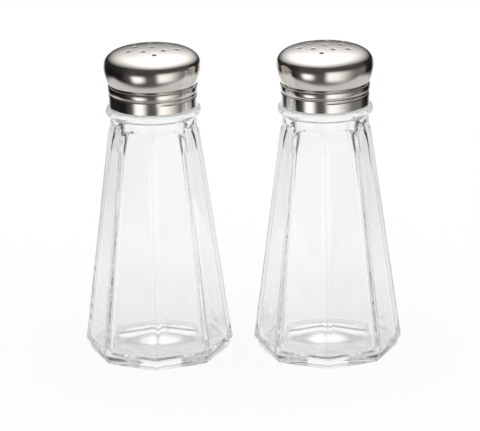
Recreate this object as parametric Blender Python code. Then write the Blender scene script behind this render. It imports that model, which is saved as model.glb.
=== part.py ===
"""A matched pair of eight-sided glass shakers with screw-on mushroom caps.

Each shaker is two pieces: a pressed glass jar and a one-piece pressed
stainless cap.  Metres, +Z up.  The origin is at the centre of the pair, on
the surface that the two feet stand on; +X runs from the salt shaker to the
pepper shaker, and -Y is the front.  Every jar has one corner at the front.
"""
import math

import bmesh
import bpy
from mathutils import Matrix

MM = 0.001

# ---- driving dimensions (mm) ------------------------------------------------
AXIS_X = 29.2            # half the distance between the two shakers' axes

# jar, outside
SIDES = 8
FOOT_CORNER_R = 23.6     # corner radius of the octagon that stands on the table
HEEL_CORNER_R = 25.6     # widest corner radius, at the top of the heel
HEEL_Z = 4.1
TAPER = 0.1326           # corner radius lost for each mm of height
PANEL_END_Z = 79.6       # the panels' arched tops start here
NECK_Z = 83.6            # fully round from here up
NECK_R = 14.9
BEAD_R = 16.3            # glass ring that the cap sits over
BEAD_LOW_Z = 84.7
BEAD_TOP_Z = 87.45
FINISH_R = 13.1          # threaded neck inside the cap
THREAD_CREST = 0.6
THREAD_PITCH = 3.0
THREAD_TURNS = 1.25
THREAD_Z = 90.0
RIM_Z = 96.0
# jar, inside
MOUTH_R = 10.6
FLOOR_Z = 3.6
WALL_LOW = 4.3           # glass thickness at the corners, near the floor
WALL_HIGH = 3.7          # and near the shoulder
# underside
FOOT_RING_R = 18.2       # the flat foot ring runs in to this radius
PUNT_Z = 1.1             # the middle of the underside is raised

# cap
TOP_Z = 108.0
SHEET = 0.5
SKIRT_R = 15.1
SKIRT_LOW_Z = 87.8
NECK_GROOVE_Z = 95.35    # crease where the head meets the skirt
NECK_GROOVE = 0.42
ROLL_DEPTH = 0.3         # rolled thread crease in the skirt, under the ring
ROLL_PITCH = 1.15
ROLL_Z = 91.3
RING_LOW_Z = 92.45       # bulging ring between the two creases
RING_OUT = 0.27
HOLE_R = 0.75
HOLE_RING_IN = 5.8
HOLE_RING_OUT = 8.75
HOLES_IN_RING = 5
SALT_CAP_TURN = 8.0      # degrees, where each cap came to rest on its thread
PEPPER_CAP_TURN = -7.0

SEGS = 32                # points around every ring


def clamp01(v):
    return max(0.0, min(1.0, v))


def smooth(v):
    v = clamp01(v)
    return v * v * (3.0 - 2.0 * v)


def octagon(corner_r, angle):
    """Radius of a regular octagon at this angle; a corner lies at angle 0."""
    step = 2.0 * math.pi / SIDES
    a = angle % step - step / 2.0
    return corner_r * math.cos(step / 2.0) / math.cos(a)


def body_corner_r(z):
    """Outer corner radius of the tapered body."""
    if z < HEEL_Z:
        t = clamp01(z / HEEL_Z)
        return FOOT_CORNER_R + (HEEL_CORNER_R - FOOT_CORNER_R) * math.sin(t * math.pi / 2.0)
    return HEEL_CORNER_R - TAPER * (z - HEEL_Z)


def outer_r(z, angle):
    """Outside of the jar: flat panels that run out in arches into a round neck."""
    flat = octagon(body_corner_r(z), angle)
    shoulder = NECK_R + 0.055 * max(0.0, NECK_Z - z) ** 2
    w = smooth((z - PANEL_END_Z) / (NECK_Z - PANEL_END_Z))
    return min(flat, shoulder) * (1.0 - w) + NECK_R * w


def inner_r(z, angle):
    """Cavity of the jar: an eight-sided space that turns round at the mouth."""
    wall = WALL_LOW + (WALL_HIGH - WALL_LOW) * clamp01((z - FLOOR_Z) / 70.0)
    flat = octagon(body_corner_r(z) - wall, angle)
    soft = min(flat, (body_corner_r(z) - wall) * 0.975)
    w = smooth((z - 74.0) / 9.0)
    return soft * (1.0 - w) + MOUTH_R * w


def helix(z, angle, z0, pitch, turns, width):
    """Height 0..1 of a thread that climbs anticlockwise, with faded ends."""
    best = 0.0
    for k in range(-1, 3):
        turn = k + (angle / (2.0 * math.pi)) % 1.0
        if turn < 0.0 or turn > turns:
            continue
        d = abs(z - (z0 + pitch * turn)) / width
        if d < 1.0:
            fade = min(1.0, turn / 0.12, (turns - turn) / 0.12)
            best = max(best, (0.5 + 0.5 * math.cos(math.pi * d)) * max(0.0, fade))
    return best


def lathe(name, rings, material, x0, turn_deg=0.0):
    """Closed body from rings of points.

    rings run from the lowest outer centre, up the outside, over the rim and
    down the inside.  A ring is (z function or number, radius function); the
    first and the last entries are heights on the axis.
    """
    bm = bmesh.new()
    loops = []
    for z, radius in rings[1:-1]:
        loop = []
        for i in range(SEGS):
            a = 2.0 * math.pi * i / SEGS
            r = radius(a)
            loop.append(bm.verts.new((r * math.sin(a) * MM, -r * math.cos(a) * MM, z * MM)))
        loops.append(loop)
    first = bm.verts.new((0.0, 0.0, rings[0] * MM))
    last = bm.verts.new((0.0, 0.0, rings[-1] * MM))
    for i in range(SEGS):
        j = (i + 1) % SEGS
        bm.faces.new((first, loops[0][i], loops[0][j]))
        bm.faces.new((last, loops[-1][j], loops[-1][i]))
        for low, high in zip(loops, loops[1:]):
            bm.faces.new((low[i], high[i], high[j], low[j]))
    bmesh.ops.recalc_face_normals(bm, faces=bm.faces)
    if bm.calc_volume(signed=True) < 0.0:
        bmesh.ops.reverse_faces(bm, faces=bm.faces)
    mesh = bpy.data.meshes.new(name)
    bm.to_mesh(mesh)
    bm.free()
    mesh.shade_smooth()
    mesh.set_sharp_from_angle(angle=math.radians(28.0))
    mesh.materials.append(material)
    obj = bpy.data.objects.new(name, mesh)
    bpy.context.scene.collection.objects.link(obj)
    obj.location = (x0 * MM, 0.0, 0.0)
    obj.rotation_euler = (0.0, 0.0, math.radians(turn_deg))
    return obj


def circle(r):
    return lambda a: r


def make_jar(name, x0, material):
    rings = [PUNT_Z]
    # underside: raised middle, flat foot ring
    rings.append((PUNT_Z - 0.15, circle(9.0)))
    rings.append((PUNT_Z - 0.55, circle(15.0)))
    rings.append((0.0, circle(FOOT_RING_R)))
    rings.append((0.0, lambda a: octagon(FOOT_CORNER_R, a)))
    # heel and panels
    for z in (1.0, 2.2, HEEL_Z, 74.0, 77.0, PANEL_END_Z, 80.8, 82.0, NECK_Z):
        rings.append((z, lambda a, z=z: outer_r(z, a)))
    # bead ring: half a round
    mid = 0.5 * (BEAD_LOW_Z + BEAD_TOP_Z)
    half = 0.5 * (BEAD_TOP_Z - BEAD_LOW_Z)
    rings.append((BEAD_LOW_Z, circle(NECK_R)))
    for k in range(1, 6):
        a = math.pi * k / 6.0
        rings.append((mid - half * math.cos(a),
                      circle(NECK_R + (BEAD_R - NECK_R) * math.sin(a))))
    rings.append((BEAD_TOP_Z, circle(14.2)))
    # threaded neck
    z = BEAD_TOP_Z
    rings.append((BEAD_TOP_Z + 0.3, circle(FINISH_R)))
    steps = 11
    for k in range(1, steps + 1):
        z = BEAD_TOP_Z + 0.3 + (RIM_Z - 0.9 - BEAD_TOP_Z - 0.3) * k / steps
        rings.append((z, lambda a, z=z: FINISH_R + THREAD_CREST * helix(
            z, a, THREAD_Z, THREAD_PITCH, THREAD_TURNS, 1.0)))
    # rim
    rings.append((RIM_Z - 0.3, circle(FINISH_R - 0.35)))
    rings.append((RIM_Z, circle(FINISH_R - 0.95)))
    rings.append((RIM_Z, circle(MOUTH_R + 0.7)))
    rings.append((RIM_Z - 0.5, circle(MOUTH_R)))
    # cavity
    for z in (83.0, 80.0, 77.0, 74.0, 40.0, FLOOR_Z + 1.5):
        rings.append((z, lambda a, z=z: inner_r(z, a)))
    rings.append((FLOOR_Z + 0.5, lambda a: inner_r(FLOOR_Z, a) * 0.975))
    rings.append((FLOOR_Z + 0.06, lambda a: inner_r(FLOOR_Z, a) * 0.93))
    rings.append((FLOOR_Z, circle(9.0)))
    rings.append(FLOOR_Z)
    return lathe(name, rings, material, x0)


# outside of the cap, from the top of the dome down to the skirt: (radius, height)
DOME = ((4.0, 107.9), (7.2, 107.63), (10.4, 107.13), (12.6, 106.52), (14.3, 105.68),
        (15.6, 104.53), (16.4, 103.1), (16.65, 101.4),
        (16.5, 99.5), (16.05, 97.8), (15.4, 96.15))


def inward(profile, distance):
    """The same profile moved in by the sheet's thickness."""
    out = []
    for i, (r, z) in enumerate(profile):
        r0, z0 = profile[max(0, i - 1)]
        r1, z1 = profile[min(len(profile) - 1, i + 1)]
        dr, dz = r1 - r0, z1 - z0
        n = math.hypot(dr, dz)
        out.append((r + dz / n * distance, z - dr / n * distance))
    return out


def skirt_r(z, angle):
    """Outside of the skirt: crease, bulging ring, rolled thread, plain band."""
    groove = NECK_GROOVE * math.exp(-((z - NECK_GROOVE_Z) / 0.35) ** 2)
    roll = ROLL_DEPTH * helix(z, angle, ROLL_Z, ROLL_PITCH, 1.3, 0.45)
    ring = 0.0
    if RING_LOW_Z < z < NECK_GROOVE_Z:
        t = (z - RING_LOW_Z) / (NECK_GROOVE_Z - RING_LOW_Z)
        ring = RING_OUT * math.sin(math.pi * t)
    return SKIRT_R - max(groove, roll) + ring


def make_cap(name, x0, turn_deg, material, cutter_name):
    skirt_z = [95.35, 95.0, 94.5, 93.95, 93.4, 92.9, 92.5, 92.2, 91.85, 91.5, 91.15]
    rings = [TOP_Z - SHEET]
    # built from the underside of the dome outwards, so the order is inside first
    inner = inward(DOME, SHEET)
    for r, z in inner:
        rings.append((z, circle(r)))
    for z in skirt_z:
        rings.append((z, lambda a, z=z: skirt_r(z, a) - SHEET))
    rings.append((SKIRT_LOW_Z + 0.2, circle(SKIRT_R - SHEET)))
    rings.append((SKIRT_LOW_Z, circle(SKIRT_R - 0.5 * SHEET - 0.1)))
    rings.append((SKIRT_LOW_Z, circle(SKIRT_R - 0.5 * SHEET + 0.1)))
    rings.append((SKIRT_LOW_Z + 0.2, circle(SKIRT_R)))
    for z in reversed(skirt_z):
        rings.append((z, lambda a, z=z: skirt_r(z, a)))
    for r, z in reversed(DOME):
        rings.append((z, circle(r)))
    rings.append(TOP_Z)
    cap = lathe(name, rings, material, x0, turn_deg)

    # the eleven holes: one in the middle, five and five in two rings
    spots = [(0.0, 0.0)]
    for k in range(HOLES_IN_RING):
        outer = 2.0 * math.pi * k / HOLES_IN_RING
        between = outer + math.pi / HOLES_IN_RING
        spots.append((HOLE_RING_OUT, outer))
        spots.append((HOLE_RING_IN, between))
    bm = bmesh.new()
    for r, a in spots:
        made = bmesh.ops.create_cone(bm, cap_ends=True, segments=8, radius1=HOLE_R * MM,
                                     radius2=HOLE_R * MM, depth=4.0 * MM)
        bmesh.ops.rotate(bm, verts=made["verts"],
                         matrix=Matrix.Rotation(math.radians(13.0), 3, 'Z'))
        bmesh.ops.translate(bm, verts=made["verts"],
                            vec=(r * math.sin(a) * MM, -r * math.cos(a) * MM, 107.4 * MM))
    mesh = bpy.data.meshes.new(cutter_name)
    bm.to_mesh(mesh)
    bm.free()
    cutter = bpy.data.objects.new(cutter_name, mesh)
    bpy.context.scene.collection.objects.link(cutter)
    cutter.location = cap.location
    cutter.rotation_euler = cap.rotation_euler
    cutter.hide_render = True
    cutter.display_type = 'WIRE'
    cut = cap.modifiers.new("holes", 'BOOLEAN')
    cut.operation = 'DIFFERENCE'
    cut.solver = 'EXACT'
    cut.object = cutter
    return cap


def make_material(name, color, metallic, roughness, transmission=0.0, alpha=1.0):
    mat = bpy.data.materials.new(name)
    mat.use_nodes = True
    bsdf = mat.node_tree.nodes["Principled BSDF"]
    bsdf.inputs["Base Color"].default_value = (*color, 1.0)
    bsdf.inputs["Metallic"].default_value = metallic
    bsdf.inputs["Roughness"].default_value = roughness
    bsdf.inputs["Transmission Weight"].default_value = transmission
    bsdf.inputs["Alpha"].default_value = alpha
    mat.diffuse_color = (*color, alpha)
    return mat


def main():
    for obj in list(bpy.data.objects):
        bpy.data.objects.remove(obj, do_unlink=True)
    glass_salt = make_material("salt_glass", (0.90, 0.93, 0.91), 0.0, 0.03, 1.0, 0.35)
    glass_pepper = make_material("pepper_glass", (0.90, 0.93, 0.91), 0.0, 0.03, 1.0, 0.35)
    steel_salt = make_material("salt_cap_steel", (0.70, 0.67, 0.64), 1.0, 0.16)
    steel_pepper = make_material("pepper_cap_steel", (0.70, 0.67, 0.64), 1.0, 0.16)
    make_jar("salt_jar", -AXIS_X, glass_salt)
    make_jar("pepper_jar", AXIS_X, glass_pepper)
    make_cap("salt_cap", -AXIS_X, SALT_CAP_TURN, steel_salt, "salt_hole_cutter")
    make_cap("pepper_cap", AXIS_X, PEPPER_CAP_TURN, steel_pepper, "pepper_hole_cutter")
    bpy.context.view_layer.update()


main()
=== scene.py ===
"""Looks of the shaker pair: fine pressed-glass jars and pressed steel caps on
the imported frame, a pale floor, soft studio light and the camera."""
import math

import bmesh
import bpy
import numpy as np
from mathutils import Matrix, Vector
from mathutils.geometry import delaunay_2d_cdt


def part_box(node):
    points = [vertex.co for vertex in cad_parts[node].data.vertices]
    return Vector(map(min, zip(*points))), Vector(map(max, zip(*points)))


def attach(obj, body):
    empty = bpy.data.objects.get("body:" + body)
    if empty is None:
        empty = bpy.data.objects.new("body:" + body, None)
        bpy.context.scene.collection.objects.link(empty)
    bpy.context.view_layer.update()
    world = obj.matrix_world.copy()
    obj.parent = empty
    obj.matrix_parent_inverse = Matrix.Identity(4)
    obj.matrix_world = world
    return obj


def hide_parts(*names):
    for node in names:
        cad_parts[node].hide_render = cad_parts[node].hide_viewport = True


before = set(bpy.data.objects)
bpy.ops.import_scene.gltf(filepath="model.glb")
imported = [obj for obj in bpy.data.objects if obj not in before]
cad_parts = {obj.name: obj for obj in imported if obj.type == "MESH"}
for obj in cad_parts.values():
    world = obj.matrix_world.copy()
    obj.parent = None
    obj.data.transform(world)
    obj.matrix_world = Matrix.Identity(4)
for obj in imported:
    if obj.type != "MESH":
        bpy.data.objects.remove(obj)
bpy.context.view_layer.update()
MM = 0.001
scene = bpy.context.scene


# ---------------------------------------------------------------- frame sizes
def axis_of(node):
    lo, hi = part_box(node)
    return 0.5 * (lo.x + hi.x), 0.5 * (lo.y + hi.y)


SALT_AX = axis_of("salt_jar")
PEPPER_AX = axis_of("pepper_jar")
jar_lo, jar_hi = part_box("salt_jar")
cap_lo, cap_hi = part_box("salt_cap")
RIM_Z = jar_hi.z / MM
HEEL_R = 0.5 * (jar_hi.x - jar_lo.x) / MM
HEEL_Z = 4.1
FOOT_R = 23.6
TAPER = 0.1326
NECK_R = 14.9
BEAD_R = 16.3
BEAD_LOW, BEAD_TOP = 84.7, 87.45
FINISH_R = 13.1
MOUTH_R = 10.6
FLOOR_Z = 3.6
SKIRT_LOW = cap_lo.z / MM
SKIRT_R = 15.1
SHEET = 0.42
NECK_CREASE = 95.35
THREAD_CREASE = 92.45
TOP_Z = 108.0
HEAD_R = 0.5 * (cap_hi.x - cap_lo.x) / MM


# ---------------------------------------------------------------- small maths
def smooth(v):
    v = np.clip(v, 0.0, 1.0)
    return v * v * (3.0 - 2.0 * v)


def soft_oct(corner_r, fillet, ang):
    """Radius of a regular octagon with rounded corners; a corner is at 0."""
    half = math.pi / 8.0
    apothem = corner_r * math.cos(half)
    a = np.abs((ang + half) % (2 * half) - half)          # angle from the nearest corner
    flat = apothem / np.cos(half - a)
    centre = (apothem - fillet) / math.cos(half)
    inside = np.maximum(fillet ** 2 - (centre * np.sin(a)) ** 2, 0.0)
    arc = centre * np.cos(a) + np.sqrt(inside)
    tangent = half - np.arctan((apothem - fillet) * math.tan(half) / apothem)
    return np.where(a < tangent, arc, flat)


def ring_angles():
    """Angles round a jar, close together at the eight corners."""
    near = [0.0, 0.6, 1.2, 1.8, 2.4, 3.1, 3.9, 4.8, 6.0, 7.4, 9.0, 11.0, 13.2, 15.5, 17.8, 20.1]
    half = near + [22.5] + [45.0 - v for v in reversed(near[1:])]
    out = []
    for k in range(8):
        out += [math.radians(45.0 * k + v) for v in half]
    return np.array(out)


def wobble(ang, z, seed, amount):
    """Very slow waviness of pressed glass, in mm."""
    s = (np.sin(2 * ang + 0.051 * z + seed) + 0.6 * np.sin(3 * ang - 0.083 * z + 2.1 * seed)
         + 0.45 * np.sin(5 * ang + 0.13 * z + 0.7 * seed) + 0.35 * np.sin(0.19 * z + 1.3 * seed))
    return amount * s


def make_mesh(name, verts, faces, smooth_shade=True):
    mesh = bpy.data.meshes.new(name)
    mesh.from_pydata([tuple(v) for v in verts], [], faces)
    mesh.validate()
    bm = bmesh.new()
    bm.from_mesh(mesh)
    bmesh.ops.remove_doubles(bm, verts=bm.verts, dist=1e-7)
    bmesh.ops.recalc_face_normals(bm, faces=bm.faces)
    if bm.calc_volume(signed=True) < 0:
        bmesh.ops.reverse_faces(bm, faces=bm.faces)
    bm.to_mesh(mesh)
    bm.free()
    if smooth_shade:
        mesh.shade_smooth()
    obj = bpy.data.objects.new(name, mesh)
    scene.collection.objects.link(obj)
    return obj


def ring_grid(rings, closed_ends=True):
    """Quads between rings of equal length; the ends are closed with a fan."""
    n = len(rings[0])
    verts = [p for ring in rings for p in ring]
    faces = []
    for k in range(len(rings) - 1):
        a, b = k * n, (k + 1) * n
        for i in range(n):
            j = (i + 1) % n
            faces.append((a + i, a + j, b + j, b + i))
    if closed_ends:
        for k, ring in ((0, rings[0]), (len(rings) - 1, rings[-1])):
            c = np.mean(np.array(ring), axis=0)
            verts.append(tuple(c))
            ci = len(verts) - 1
            base = k * n
            for i in range(n):
                j = (i + 1) % n
                faces.append((ci, base + j, base + i) if k == 0 else (ci, base + i, base + j))
    return verts, faces


# ---------------------------------------------------------------- the jars
ANG = ring_angles()


def body_r(z):
    return HEEL_R - TAPER * (z - HEEL_Z)


def outer_radius(z, seed):
    """Outside of the jar at height z for every angle in ANG."""
    if z <= HEEL_Z:
        t = z / HEEL_Z
        corner = FOOT_R + (HEEL_R - FOOT_R) * (0.75 * t + 0.25 * math.sin(t * math.pi / 2))
    else:
        corner = body_r(z)
    flat = soft_oct(corner, 1.7, ANG) + wobble(ANG, z, seed, 0.018)
    # each panel ends under the neck in an arch
    half = math.pi / 8.0
    off = np.abs((ANG) % (2 * half) - half) / half          # 0 mid panel, 1 at a corner
    arch = 81.6 - 2.3 * off ** 2.2
    w = smooth((z - arch) / 1.7 + 0.5)
    return flat * (1.0 - w) + NECK_R * w


def thread(z, z0, pitch, turns, width, ang=None):
    """Height 0..1 of a thread ridge that climbs round the axis."""
    ang = ANG if ang is None else ang
    best = np.zeros_like(ang)
    for k in range(-1, 3):
        turn = k + (ang / (2 * math.pi)) % 1.0
        d = np.abs(z - (z0 + pitch * turn)) / width
        fade = np.clip(np.minimum(turn / 0.12, (turns - turn) / 0.12), 0, 1)
        best = np.maximum(best, np.where(d < 1, (0.5 + 0.5 * np.cos(np.pi * np.minimum(d, 1))) * fade, 0))
    return best


def inner_radius(z, seed):
    wall = 4.2 - 0.6 * np.clip((z - FLOOR_Z) / 70.0, 0, 1)
    corner = body_r(z) - wall
    flat = soft_oct(corner, 4.5, ANG) + wobble(ANG, z, seed + 3.0, 0.05)
    w = smooth((z - 72.5) / 11.0)
    return flat * (1.0 - w) + MOUTH_R * w


def make_jar(name, axis, seed):
    cx, cy = axis[0] / MM, axis[1] / MM
    rings = []

    def add(z, r):
        r = np.broadcast_to(np.asarray(r, float), ANG.shape)
        z = np.broadcast_to(np.asarray(z, float), ANG.shape)
        rings.append(np.stack([(cx + r * np.sin(ANG)) * MM, (cy - r * np.cos(ANG)) * MM, z * MM], axis=1))

    # underside: shallow punt inside a flat foot ring
    for r in (0.6, 2.0, 4.0, 6.0, 8.0, 10.0, 12.0, 13.5, 14.8, 15.8, 16.6, 17.3, 18.0):
        t = r / 18.0
        add(1.15 * (1.0 - smooth(t ** 1.6)), r)
    for t in (0.25, 0.5, 0.75, 0.9):
        add(0.0, 18.0 + (soft_oct(FOOT_R - 0.45, 1.7, ANG) - 18.0) * t)
    # heel edge with a small radius, then the chamfer
    edge = 0.55
    for a in np.linspace(0, 1, 6):
        ang = a * math.pi / 2
        z = edge * (1 - math.cos(ang))
        r = soft_oct(FOOT_R - 0.45, 1.7, ANG) + (outer_radius(edge, seed) - soft_oct(FOOT_R - 0.45, 1.7, ANG)) * math.sin(ang)
        add(z, r)
    for z in (0.9, 1.4, 2.0, 2.6, 3.1, 3.5, 3.8, 4.1, 4.4, 4.8, 5.4, 6.4, 8.0):
        if z > 3.3 and z < 5.0:      # soften the crease where the chamfer meets the panels
            lo, hi = outer_radius(z - 0.45, seed), outer_radius(z + 0.45, seed)
            add(z, 0.5 * (outer_radius(z, seed) + 0.5 * (lo + hi)))
        else:
            add(z, outer_radius(z, seed))
    for z in np.arange(10.0, 78.0, 2.0):
        add(z, outer_radius(z, seed))
    for z in np.arange(78.0, BEAD_LOW - 0.35, 0.28):
        add(z, outer_radius(z, seed))
    # bead ring, round in section, with small fillets
    mid, half_h = 0.5 * (BEAD_LOW + BEAD_TOP), 0.5 * (BEAD_TOP - BEAD_LOW)
    add(BEAD_LOW - 0.18, NECK_R + 0.01)
    add(BEAD_LOW - 0.05, NECK_R + 0.06)
    for a in np.linspace(8, 172, 22):
        t = math.radians(a)
        s = math.sin(t) ** 0.8
        add(mid - half_h * math.cos(t), NECK_R + (BEAD_R - NECK_R) * s)
    add(BEAD_TOP, 14.4)
    add(BEAD_TOP + 0.03, 13.8)
    add(BEAD_TOP + 0.15, 13.35)
    for z in np.arange(BEAD_TOP + 0.4, RIM_Z - 1.0, 0.22):
        add(z, FINISH_R + 0.6 * thread(z, 90.0, 3.0, 1.25, 1.0))
    # rim
    for a in np.linspace(0, 90, 7):
        t = math.radians(a)
        add(RIM_Z - 0.9 + 0.9 * math.sin(t), FINISH_R - 0.9 * (1 - math.cos(t)))
    for a in np.linspace(90, 0, 7):
        t = math.radians(a)
        add(RIM_Z - 0.7 + 0.7 * math.sin(t), MOUTH_R + 0.7 * (1 - math.cos(t)))
    # cavity
    for z in np.arange(RIM_Z - 2.0, 84.0, -1.5):
        add(z, MOUTH_R)
    for z in np.arange(83.5, 72.0, -0.6):
        add(z, inner_radius(z, seed))
    fr = 1.6
    for z in np.arange(71.0, FLOOR_Z + fr + 0.2, -2.0):
        add(z, inner_radius(z, seed))
    # round corner down to the cavity's floor, whose middle is pushed up a little
    base = inner_radius(FLOOR_Z + fr, seed)
    for a in np.linspace(0, 90, 10):
        t = math.radians(a)
        add(FLOOR_Z + fr - fr * math.sin(t), base - fr * (1 - math.cos(t)))
    edge_r = base - fr
    circle_r = 15.0
    for t in (0.9, 0.75, 0.6, 0.45, 0.3, 0.18, 0.08, 0.03):
        mix = smooth((1.0 - t) * 1.6)
        r = edge_r * t * (1 - mix) + circle_r * t * mix
        crown = 0.35 * (1 - smooth(t))
        add(FLOOR_Z + crown + 0.06 * np.sin(2 * ANG + seed) * t * (1 - t), r)
    verts, faces = ring_grid(rings)
    return make_mesh(name, verts, faces)


# ---------------------------------------------------------------- the caps
DOME = [(0.0, 108.0), (2.5, 107.96), (5.0, 107.84), (7.2, 107.63), (8.75, 107.43), (10.4, 107.13),
        (11.6, 106.84), (12.6, 106.52), (13.5, 106.14), (14.3, 105.68), (15.0, 105.15), (15.6, 104.53),
        (16.05, 103.88), (16.4, 103.1), (16.58, 102.25), (16.64, 101.4), (16.58, 100.4), (16.4, 99.3),
        (16.12, 98.2), (15.8, 97.2), (15.5, 96.45), (15.27, 96.02), (15.1, 95.78)]


def dense_profile(points, step=0.22):
    """Smooth curve through the profile's points (Catmull-Rom), evenly spaced."""
    p = np.array(points, float)
    out = []
    for i in range(len(p) - 1):
        p0, p1, p2, p3 = p[max(0, i - 1)], p[i], p[i + 1], p[min(len(p) - 1, i + 2)]
        n = max(2, int(math.ceil(np.linalg.norm(p2 - p1) / step)))
        for k in range(n):
            t = k / n
            out.append(0.5 * ((2 * p1) + (-p0 + p2) * t + (2 * p0 - 5 * p1 + 4 * p2 - p3) * t ** 2
                              + (-p0 + 3 * p1 - 3 * p2 + p3) * t ** 3))
    out.append(p[-1])
    return np.array(out)


PROFILE = dense_profile(DOME)


def dome_z(r):
    """Height of the outside of the dome at radius r (only its top, r < 13)."""
    top = PROFILE[PROFILE[:, 0] < 14.0]
    return np.interp(r, top[:, 0], top[:, 1])


def hole_spots():
    spots = [(0.0, 0.0)]
    for k in range(5):
        a = 2 * math.pi * k / 5
        spots.append((8.75 * math.sin(a), -8.75 * math.cos(a)))
        a += math.pi / 5
        spots.append((5.8 * math.sin(a), -5.8 * math.cos(a)))
    return np.array(spots)


HOLE_R = 0.78
PATCH_R = 11.4
CAP_N = 240


def dimple(xy, spots):
    """The punch presses the sheet down a little round each hole, in mm."""
    out = np.zeros(len(xy))
    for c in spots:
        d = np.hypot(xy[:, 0] - c[0], xy[:, 1] - c[1])
        out -= 0.07 * np.exp(-(np.maximum(d - HOLE_R, 0) / 0.32) ** 2)
    return out


def skirt(z, ang):
    """Outside of the skirt: crease under the head, bulging ring, the rolled
    thread's creases, then the plain band."""
    neck = 0.42 * math.exp(-((z - NECK_CREASE) / 0.26) ** 2)
    bulge = 0.0
    if THREAD_CREASE < z < NECK_CREASE:
        t = (z - THREAD_CREASE) / (NECK_CREASE - THREAD_CREASE)
        bulge = 0.27 * math.sin(math.pi * t) ** 0.8
    roll = 0.0
    for k in (-1, 0, 1):
        turn = ang / (2 * math.pi) + k
        fade = np.clip(np.minimum(turn / 0.10 + 0.2, (1.30 - turn) / 0.10), 0, 1)
        low = THREAD_CREASE - 1.15 + 1.15 * turn
        roll = np.maximum(roll, 0.30 * np.exp(-((z - low) / 0.24) ** 2) * smooth(fade))
    return SKIRT_R - np.maximum(neck, roll) + bulge


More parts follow.
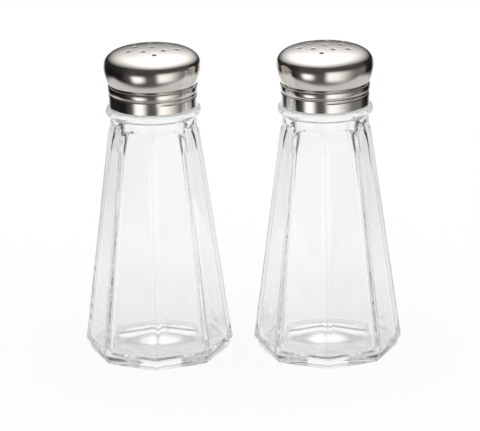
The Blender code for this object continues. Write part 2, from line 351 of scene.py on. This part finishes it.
def make_cap(name, axis, turn_deg, seed):
    cx, cy = axis[0] / MM, axis[1] / MM
    turn = math.radians(turn_deg)
    ang = np.linspace(0, 2 * math.pi, CAP_N, endpoint=False)
    spots = hole_spots()

    # --- the pierced top: flat layout of points, lifted onto the dome
    pts, edges = [], []

    def add_ring(c, r, n, phase=0.0, edge=False):
        start = len(pts)
        for i in range(n):
            a = 2 * math.pi * i / n + phase
            pts.append((c[0] + r * math.sin(a), c[1] - r * math.cos(a)))
        if edge:
            edges.extend((start + i, start + (i + 1) % n) for i in range(n))
        return list(range(start, start + n))

    outer_loop = add_ring((0, 0), PATCH_R, CAP_N, edge=True)
    add_ring((0, 0), PATCH_R - 0.28, CAP_N, math.pi / CAP_N)
    hole_loops = []
    for c in spots:
        hole_loops.append(add_ring(c, HOLE_R, 28, edge=True))
        for k, extra in enumerate((0.05, 0.12, 0.22, 0.36, 0.55, 0.8, 1.1)):
            add_ring(c, HOLE_R + extra, 28, (k + 1) * math.pi / 28)
    step = 0.36
    rows = int(PATCH_R / (step * 0.866)) + 1
    for j in range(-rows, rows + 1):
        for i in range(-40, 41):
            x = (i + 0.5 * (j % 2)) * step
            y = j * step * 0.866
            if math.hypot(x, y) > PATCH_R - 0.45:
                continue
            if min(math.hypot(x - c[0], y - c[1]) for c in spots) < HOLE_R + 1.3:
                continue
            pts.append((x, y))
    res = delaunay_2d_cdt([Vector(p) for p in pts], edges, [], 0, 1e-6)
    vs, tris, orig = res[0], res[2], res[3]
    back = {}
    for new, olds in enumerate(orig):
        for o in olds:
            back[o] = new
    xy = np.array([(v.x, v.y) for v in vs])
    keep = []
    for t in tris:
        c = xy[list(t)].mean(axis=0)
        if np.hypot(*(spots - c).T).min() < HOLE_R * 0.97:
            continue
        if np.hypot(*c) > PATCH_R:
            continue
        keep.append(t)
    outer_loop = [back[i] for i in outer_loop]
    hole_loops = [[back[i] for i in h] for h in hole_loops]

    verts, faces = [], []
    r = np.hypot(xy[:, 0], xy[:, 1])
    z_out = dome_z(r) + dimple(xy, spots)
    z_in = dome_z(r) - SHEET + dimple(xy, spots) * 0.9
    n_patch = len(xy)
    verts += [(x, y, z) for (x, y), z in zip(xy, z_out)]
    verts += [(x, y, z) for (x, y), z in zip(xy, z_in)]
    for t in keep:
        faces.append(tuple(t))
        faces.append(tuple(n_patch + i for i in reversed(t)))
    for h in hole_loops:               # walls of the holes
        n = len(h)
        mid = []
        for i in h:
            x, y, z = verts[i]
            mid.append(len(verts))
            verts.append((x, y, z - 0.5 * SHEET))
        for i in range(n):
            j = (i + 1) % n
            faces.append((h[i], mid[i], mid[j], h[j]))
            faces.append((mid[i], n_patch + h[i], n_patch + h[j], mid[j]))

    # --- the rest: rings from the patch's edge down the outside and back up inside
    prof = PROFILE[PROFILE[:, 0] > PATCH_R + 0.1]
    first = int(np.argmax(PROFILE[:, 0] > PATCH_R + 0.1))
    prof = PROFILE[first:]
    rings = []

    def ring(rad, z):
        rad = np.broadcast_to(np.asarray(rad, float), ang.shape)
        z = np.broadcast_to(np.asarray(z, float), ang.shape)
        rings.append(np.stack([rad * np.sin(ang), -rad * np.cos(ang), z], axis=1))

    for rr, z in prof:
        ring(rr, z)
    zs = list(np.arange(95.67, 90.4, -0.11))
    for z in zs:
        ring(skirt(z, ang), z)
    for z in np.arange(90.2, SKIRT_LOW + 0.5, -0.45):
        ring(skirt(z, ang), z)
    # lower edge: the sheet's edge is rolled smooth
    for a in np.linspace(0, 180, 9):
        t = math.radians(a)
        ring(SKIRT_R - 0.5 * SHEET + 0.5 * SHEET * math.cos(t), SKIRT_LOW + 0.24 - 0.24 * math.sin(t))
    for z in np.arange(SKIRT_LOW + 0.7, 90.3, 0.45):
        ring(skirt(z, ang) - SHEET, z)
    for z in reversed(zs):
        ring(skirt(z, ang) - SHEET, z)
    tangent = np.gradient(prof, axis=0)
    tangent /= np.linalg.norm(tangent, axis=1)[:, None]
    normal_in = np.stack([tangent[:, 1], -tangent[:, 0]], axis=1)     # points into the cap
    inner = prof + normal_in * SHEET
    for rr, z in inner[::-1]:
        ring(rr, z)
    start = len(verts)
    for rg in rings:
        verts += [tuple(p) for p in rg]
    for k in range(len(rings) - 1):
        a, b = start + k * CAP_N, start + (k + 1) * CAP_N
        for i in range(CAP_N):
            j = (i + 1) % CAP_N
            faces.append((a + i, b + i, b + j, a + j))
    last = start + (len(rings) - 1) * CAP_N
    for i in range(CAP_N):             # join the rings to the pierced top
        j = (i + 1) % CAP_N
        faces.append((outer_loop[i], start + i, start + j, outer_loop[j]))
        faces.append((n_patch + outer_loop[i], n_patch + outer_loop[j], last + j, last + i))
    v = np.array(verts)
    c, s = math.cos(turn), math.sin(turn)
    x = v[:, 0] * c - v[:, 1] * s
    y = v[:, 0] * s + v[:, 1] * c
    # a pressed sheet is never perfectly round
    a = np.arctan2(y, x)
    k = 1.0 + 0.0009 * np.sin(2 * a + seed) + 0.0005 * np.sin(3 * a + 2 * seed)
    v = np.stack([(cx + x * k) * MM, (cy + y * k) * MM, v[:, 2] * MM], axis=1)
    return make_mesh(name, v, faces)


# ---------------------------------------------------------------- materials
def new_material(name):
    mat = bpy.data.materials.new(name)
    mat.use_nodes = True
    nt = mat.node_tree
    return mat, nt, nt.nodes["Principled BSDF"]


def glass_material(name, seed):
    mat, nt, bsdf = new_material(name)
    N, L = nt.nodes, nt.links
    out = next(n for n in N if n.type == 'OUTPUT_MATERIAL')
    bsdf.inputs["Base Color"].default_value = (0.990, 0.993, 0.990, 1)
    bsdf.inputs["Metallic"].default_value = 0.0
    bsdf.inputs["IOR"].default_value = 1.51
    bsdf.inputs["Transmission Weight"].default_value = 1.0
    coord = N.new("ShaderNodeTexCoord")
    # faint handling haze: roughness hardly above zero, in slow patches
    haze = N.new("ShaderNodeTexNoise")
    haze.inputs["Scale"].default_value = 55.0
    haze.inputs["Detail"].default_value = 5.0
    ramp = N.new("ShaderNodeValToRGB")
    ramp.color_ramp.elements[0].position = 0.45
    ramp.color_ramp.elements[0].color = (0.0, 0.0, 0.0, 1)
    ramp.color_ramp.elements[1].position = 0.85
    ramp.color_ramp.elements[1].color = (0.035, 0.035, 0.035, 1)
    L.new(coord.outputs["Object"], haze.inputs["Vector"])
    L.new(haze.outputs["Fac"], ramp.inputs["Fac"])
    L.new(ramp.outputs["Color"], bsdf.inputs["Roughness"])
    # pressed glass: shallow ripples left by the mould
    mapping = N.new("ShaderNodeMapping")
    mapping.inputs["Location"].default_value = (seed, 2 * seed, 3 * seed)
    mapping.inputs["Scale"].default_value = (1.0, 1.0, 0.45)
    ripple = N.new("ShaderNodeTexNoise")
    ripple.inputs["Scale"].default_value = 70.0
    ripple.inputs["Detail"].default_value = 1.5
    bump = N.new("ShaderNodeBump")
    bump.inputs["Strength"].default_value = 0.35
    bump.inputs["Distance"].default_value = 0.0004
    L.new(coord.outputs["Object"], mapping.inputs["Vector"])
    L.new(mapping.outputs["Vector"], ripple.inputs["Vector"])
    L.new(ripple.outputs["Fac"], bump.inputs["Height"])
    L.new(bump.outputs["Normal"], bsdf.inputs["Normal"])
    vol = N.new("ShaderNodeVolumeAbsorption")
    vol.inputs["Color"].default_value = (0.83, 0.87, 0.835, 1)
    vol.inputs["Density"].default_value = 6.0
    L.new(vol.outputs["Volume"], out.inputs["Volume"])
    return mat


def steel_material(name, seed):
    mat, nt, bsdf = new_material(name)
    N, L = nt.nodes, nt.links
    bsdf.inputs["Metallic"].default_value = 1.0
    coord = N.new("ShaderNodeTexCoord")
    # warm grey that drifts a little over the pressing
    tint = N.new("ShaderNodeTexNoise")
    tint.inputs["Scale"].default_value = 90.0
    tint.inputs["Detail"].default_value = 4.0
    colour = N.new("ShaderNodeValToRGB")
    colour.color_ramp.elements[0].position = 0.3
    colour.color_ramp.elements[0].color = (0.66, 0.625, 0.59, 1)
    colour.color_ramp.elements[1].position = 0.75
    colour.color_ramp.elements[1].color = (0.71, 0.68, 0.65, 1)
    L.new(coord.outputs["Object"], tint.inputs["Vector"])
    L.new(tint.outputs["Fac"], colour.inputs["Fac"])
    L.new(colour.outputs["Color"], bsdf.inputs["Base Color"])
    # buffing lines run round the cap: noise stretched along the turn
    mapping = N.new("ShaderNodeMapping")
    mapping.inputs["Location"].default_value = (seed, seed, seed)
    mapping.inputs["Scale"].default_value = (60.0, 60.0, 5200.0)
    lines = N.new("ShaderNodeTexNoise")
    lines.inputs["Scale"].default_value = 1.0
    lines.inputs["Detail"].default_value = 3.0
    smudge = N.new("ShaderNodeTexNoise")
    smudge.inputs["Scale"].default_value = 240.0
    smudge.inputs["Detail"].default_value = 6.0
    mix = N.new("ShaderNodeMath")
    mix.operation = 'MULTIPLY_ADD'
    mix.inputs[1].default_value = 0.10
    rough = N.new("ShaderNodeMath")
    rough.operation = 'MULTIPLY_ADD'
    rough.inputs[1].default_value = 0.10
    rough.inputs[2].default_value = 0.06
    L.new(coord.outputs["Object"], mapping.inputs["Vector"])
    L.new(mapping.outputs["Vector"], lines.inputs["Vector"])
    L.new(coord.outputs["Object"], smudge.inputs["Vector"])
    L.new(lines.outputs["Fac"], rough.inputs[0])
    L.new(smudge.outputs["Fac"], mix.inputs[0])
    L.new(rough.outputs["Value"], mix.inputs[2])
    L.new(mix.outputs["Value"], bsdf.inputs["Roughness"])
    bump = N.new("ShaderNodeBump")
    bump.inputs["Strength"].default_value = 0.12
    bump.inputs["Distance"].default_value = 0.00003
    L.new(lines.outputs["Fac"], bump.inputs["Height"])
    L.new(bump.outputs["Normal"], bsdf.inputs["Normal"])
    return mat


# ---------------------------------------------------------------- build
pieces = (
    ("salt_glass", "salt_jar", SALT_AX, 0.0, 1.0),
    ("pepper_glass", "pepper_jar", PEPPER_AX, 0.0, 4.2),
)
for name, node, axis, _, seed in pieces:
    jar = make_jar(name, axis, seed)
    jar.data.materials.append(glass_material(name + "_clear", seed))
    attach(jar, node)
    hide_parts(node)
    jar.visible_shadow = False
    jar.visible_diffuse = False
for name, node, axis, turn, seed in (
    ("salt_cap_steel", "salt_cap", SALT_AX, 8.0, 0.5),
    ("pepper_cap_steel", "pepper_cap", PEPPER_AX, -7.0, 2.7),
):
    cap = make_cap(name, axis, turn, seed)
    cap.data.materials.append(steel_material(name + "_polished", seed))
    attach(cap, node)
    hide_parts(node)


# ---------------------------------------------------------------- stage
def plane(name, size, z):
    bm = bmesh.new()
    bmesh.ops.create_grid(bm, x_segments=1, y_segments=1, size=size)
    mesh = bpy.data.meshes.new(name)
    bm.to_mesh(mesh)
    bm.free()
    obj = bpy.data.objects.new(name, mesh)
    obj.location = (0, 0, z)
    scene.collection.objects.link(obj)
    return obj


floor = plane("floor", 12.0, 0.0)
mat, nt, bsdf = new_material("floor_white")
bsdf.inputs["Base Color"].default_value = (0.93, 0.93, 0.93, 1)
bsdf.inputs["Roughness"].default_value = 1.0
bsdf.inputs["Specular IOR Level"].default_value = 0.0
floor.data.materials.append(mat)
floor.visible_transmission = False
floor.visible_glossy = False


class Nodes:
    """Short forms for the number nodes of one node tree."""

    def __init__(self, tree):
        self.N, self.L = tree.nodes, tree.links

    def op(self, kind, a, b=None, c=None):
        n = self.N.new("ShaderNodeMath")
        n.operation = kind
        for i, v in enumerate((a, b, c)):
            if v is None:
                continue
            if isinstance(v, (int, float)):
                n.inputs[i].default_value = v
            else:
                self.L.new(v, n.inputs[i])
        return n.outputs[0]

    def ramp(self, v, lo, hi, soft=False):
        """0 at lo, 1 at hi; lo may be above hi, and both may be sockets."""
        n = self.N.new("ShaderNodeMapRange")
        n.interpolation_type = 'SMOOTHSTEP' if soft else 'LINEAR'
        n.clamp = True
        for key, val in (("Value", v), ("From Min", lo), ("From Max", hi)):
            if isinstance(val, (int, float)):
                n.inputs[key].default_value = val
            else:
                self.L.new(val, n.inputs[key])
        return n.outputs["Result"]

    def window(self, v, a, b, c, d):
        return self.op('MULTIPLY', self.ramp(v, a, b, True), self.ramp(v, d, c, True))

    def mul(self, *vals):
        out = vals[0]
        for v in vals[1:]:
            out = self.op('MULTIPLY', out, v)
        return out

    def most(self, *vals):
        out = vals[0]
        for v in vals[1:]:
            out = self.op('MAXIMUM', out, v)
        return out

    def less(self, v):
        return self.op('SUBTRACT', 1.0, v)

    def xyz(self, vec):
        n = self.N.new("ShaderNodeSeparateXYZ")
        self.L.new(vec, n.inputs[0])
        return n.outputs[0], n.outputs[1], n.outputs[2]

    def bearing(self, x, y):
        """Degrees from straight away from the camera (+Y), + to the right."""
        return self.op('MULTIPLY', self.op('ARCTAN2', x, y), 57.29578)


def glow_material(name, colour=(1, 1, 1)):
    mat = bpy.data.materials.new(name)
    mat.use_nodes = True
    nt = mat.node_tree
    nt.nodes.clear()
    out = nt.nodes.new("ShaderNodeOutputMaterial")
    emit = nt.nodes.new("ShaderNodeEmission")
    emit.inputs["Color"].default_value = (*colour, 1)
    nt.links.new(emit.outputs[0], out.inputs["Surface"])
    mat.cycles.emission_sampling = 'NONE'
    return mat, nt, emit


def only_for(obj, *kinds):
    for flag in ("camera", "diffuse", "glossy", "transmission", "shadow", "volume_scatter"):
        setattr(obj, "visible_" + flag, flag in kinds)


# ---- what the polished steel sees, as a painted reflection: a sphere that glows only for glossy rays,
# ---- painted as a small light tent round the pair, with a big soft box overhead, a dark wall, two soft cards low in
# front, a table
tent_r, tent_z = 0.30, 0.098
bm = bmesh.new()
bmesh.ops.create_uvsphere(bm, u_segments=64, v_segments=32, radius=tent_r)
mesh = bpy.data.meshes.new("tent")
bm.to_mesh(mesh)
bm.free()
tent = bpy.data.objects.new("tent", mesh)
tent.location = (0, 0, tent_z)
scene.collection.objects.link(tent)
only_for(tent, "glossy")
mat, nt, emit = glow_material("tent", (1.0, 0.99, 0.975))
q = Nodes(nt)
geo = nt.nodes.new("ShaderNodeNewGeometry")
x, y, z = q.xyz(geo.outputs["Position"])
z = q.op('SUBTRACT', z, tent_z)
flat = q.op('SQRT', q.op('ADD', q.mul(x, x), q.mul(y, y)))
flat = q.op('MAXIMUM', flat, 1e-5)
el = q.op('MULTIPLY', q.op('ARCTAN2', z, flat), 57.29578)
az = q.op('MULTIPLY', q.op('ARCTAN2', x, q.op('MULTIPLY', y, -1.0)), 57.29578)   # 0 towards the camera
towards = q.op('DIVIDE', q.op('MULTIPLY', y, -1.0), flat)
low = q.op('ADD', q.op('MULTIPLY_ADD', towards, 21.0, 24.0), q.mul(q.less(q.mul(towards, towards)), 9.0))
high = q.op('ADD', low, q.op('MULTIPLY_ADD', towards, -4.0, 36.0))
sky = q.mul(q.ramp(el, low, high), 1.75)
wall = q.window(az, -80.0, -50.0, 95.0, 112.0)
wall = q.op('ADD', q.op('MULTIPLY_ADD', wall, 0.055, 0.006), q.mul(wall, q.ramp(el, 4.0, -16.0), 0.045))
bend = q.op('POWER', q.op('DIVIDE', q.op('ABSOLUTE', q.op('ADD', az, 5.0)), 93.0), 2.0)
edge = q.op('MINIMUM', q.op('MULTIPLY_ADD', bend, 24.0, -46.0), -21.0)
table = q.mul(q.ramp(el, q.op('ADD', edge, 3.0), q.op('ADD', edge, -3.5)), 0.79)
# painted highlights on the steel: the two soft cards, seen only in reflections
right_card = q.mul(q.ramp(az, 1.0, 16.0, True), q.less(q.mul(q.ramp(az, 22.0, 80.0, True), 0.86)),
                   q.ramp(az, 112.0, 98.0, True), q.ramp(el, 17.0, -5.0, True), q.ramp(el, -45.0, -26.0, True), 1.5)
left_card = q.mul(q.ramp(az, -58.0, -42.0, True), q.ramp(az, -12.0, -34.0, True),
                  q.ramp(el, 3.0, -17.0, True), q.ramp(el, -38.0, -24.0, True), 1.75)
behind = q.mul(q.ramp(q.op('ABSOLUTE', az), 132.0, 160.0, True), q.ramp(el, 2.0, -8.0, True), 1.25)
nt.links.new(q.most(wall, sky, table, right_card, left_card, behind), emit.inputs["Strength"])
tent.data.materials.append(mat)

# ---- what shows through the glass: the lit sheet, narrower than the room
sheet = plane("lit_sheet", 12.0, -0.0003)
only_for(sheet, "transmission")
mat, nt, emit = glow_material("lit_sheet")
q = Nodes(nt)
geo = nt.nodes.new("ShaderNodeNewGeometry")
x, y, z = q.xyz(geo.outputs["Position"])


def distance(cx, cy):
    a, b = q.op('SUBTRACT', x, cx), q.op('SUBTRACT', y, cy)
    return q.op('SQRT', q.op('ADD', q.mul(a, a), q.mul(b, b)))


# painted shadow: the sheet is darker close to each jar, from 0.84 at the foot up to 0.97 about 14 cm away
near = q.op('MINIMUM', distance(*SALT_AX), distance(*PEPPER_AX))
level = q.op('ADD', 0.84, q.mul(q.ramp(near, 0.022, 0.14), 0.13))
# under each foot the light is gathered in the middle and thin round it: a painted bright spot in a painted darker
# halo, mottled by noise
side = q.op('SUBTRACT', q.op('ABSOLUTE', x), PEPPER_AX[0])
fore = q.op('SUBTRACT', y, 0.0035)
spot = q.op('ADD', q.op('POWER', q.op('DIVIDE', side, 0.0064), 2.0), q.op('POWER', q.op('DIVIDE', fore, 0.0048), 2.0))
spot = q.ramp(spot, 1.8, 0.2, True)
halo = q.op('ADD', q.op('POWER', q.op('DIVIDE', side, 0.0130), 2.0), q.op('POWER', q.op('DIVIDE', fore, 0.0060), 2.0))
halo = q.mul(q.ramp(halo, 1.25, 0.6, True), q.less(spot))
foot = q.ramp(near, 0.0235, 0.0180, True)
# painted light: noise mottles the brightness of the sheet under each foot
painted_light_noise = nt.nodes.new("ShaderNodeTexNoise")
painted_light_noise.inputs["Scale"].default_value = 210.0
painted_light_noise.inputs["Detail"].default_value = 3.0
nt.links.new(geo.outputs["Position"], painted_light_noise.inputs["Vector"])
mottle = q.op('MULTIPLY_ADD', painted_light_noise.outputs["Fac"], 0.50, -0.25)
under = q.op('ADD', q.op('ADD', q.op('MULTIPLY_ADD', halo, -0.24, 0.64), mottle), q.mul(spot, 0.40))
level = q.op('ADD', q.mul(level, q.less(foot)), q.mul(under, foot))
# painted shade: dark wings to both sides and a dark stretch behind, far out on the sheet, seen only through the glass
r = distance(0.0, 0.0)
turn = q.bearing(x, y)
off = q.op('ABSOLUTE', turn)
wing = q.most(q.window(turn, 24.0, 35.0, 66.0, 78.0), q.window(turn, -78.0, -66.0, -40.0, -30.0))
wing = q.mul(wing, q.ramp(r, 0.33, 0.42, True), 0.85)
rear = q.mul(q.window(off, 102.0, 112.0, 146.0, 156.0), q.ramp(r, 0.40, 0.46, True))
dark = q.most(wing, rear)
level = q.mul(level, q.less(q.mul(dark, 0.96)))
nt.links.new(level, emit.inputs["Strength"])
sheet.data.materials.append(mat)

# ---- world: white to the eye; through glass a dark room with lit openings
world = bpy.data.worlds.new("studio")
scene.world = world
world.use_nodes = True
nt = world.node_tree
nt.nodes.clear()
out = nt.nodes.new("ShaderNodeOutputWorld")
bg = nt.nodes.new("ShaderNodeBackground")
bg.inputs["Color"].default_value = (1, 1, 1, 1)
nt.links.new(bg.outputs[0], out.inputs["Surface"])
q = Nodes(nt)
coord = nt.nodes.new("ShaderNodeTexCoord")
dx, dy, dz = q.xyz(coord.outputs["Generated"])
flat = q.op('SQRT', q.op('MAXIMUM', q.op('SUBTRACT', 1.0, q.mul(dz, dz)), 1e-6))
el = q.op('MULTIPLY', q.op('ARCTAN2', dz, flat), 57.29578)
off = q.op('ABSOLUTE', q.bearing(dx, dy))
away = q.op('DIVIDE', dy, flat)
low = q.op('MULTIPLY_ADD', away, -18.0, 24.0)
room = q.ramp(el, low, q.op('ADD', low, 20.0))
opening = q.most(q.ramp(off, 20.0, 13.0, True), q.window(off, 70.0, 77.0, 103.0, 110.0))
opening = q.mul(opening, q.ramp(el, 48.0, 30.0, True))
dim = q.op('MULTIPLY_ADD', q.ramp(el, 5.0, 18.0, True), 0.36, 0.04)
through = q.most(dim, room, opening)
path = nt.nodes.new("ShaderNodeLightPath")


def choose(f, a, b):
    """a where f is 0, b where f is 1."""
    return q.op('ADD', q.mul(q.less(f), a), q.mul(f, b))


level = choose(path.outputs["Is Transmission Ray"], 1.08, through)
level = choose(path.outputs["Is Camera Ray"], level, 1.0)
nt.links.new(level, bg.inputs["Strength"])

scene.view_settings.view_transform = 'Standard'
scene.view_settings.look = 'None'
scene.cycles.max_bounces = 48
scene.cycles.glossy_bounces = 48
scene.cycles.transmission_bounces = 48
scene.cycles.transparent_max_bounces = 16

# ---------------------------------------------------------------- camera
cam_data = bpy.data.cameras.new("camera")
cam_data.sensor_width = 36.0
cam_data.lens = 229.24
cam = bpy.data.objects.new("camera", cam_data)
scene.collection.objects.link(cam)
scene.camera = cam
A, E, ROLL, DIST = math.radians(-1.555), math.radians(17.513), math.radians(-1.079), 1.050
target = Vector((-0.00045, 0.0, 0.04788))
fw = Vector((math.sin(A) * math.cos(E), math.cos(A) * math.cos(E), -math.sin(E)))
right = Vector((math.cos(A), -math.sin(A), 0.0))
up = right.cross(fw)
rr = math.cos(ROLL) * right + math.sin(ROLL) * up
uu = -math.sin(ROLL) * right + math.cos(ROLL) * up
m = Matrix((rr, uu, -fw)).transposed().to_4x4()
m.translation = target - DIST * fw
cam.matrix_world = m
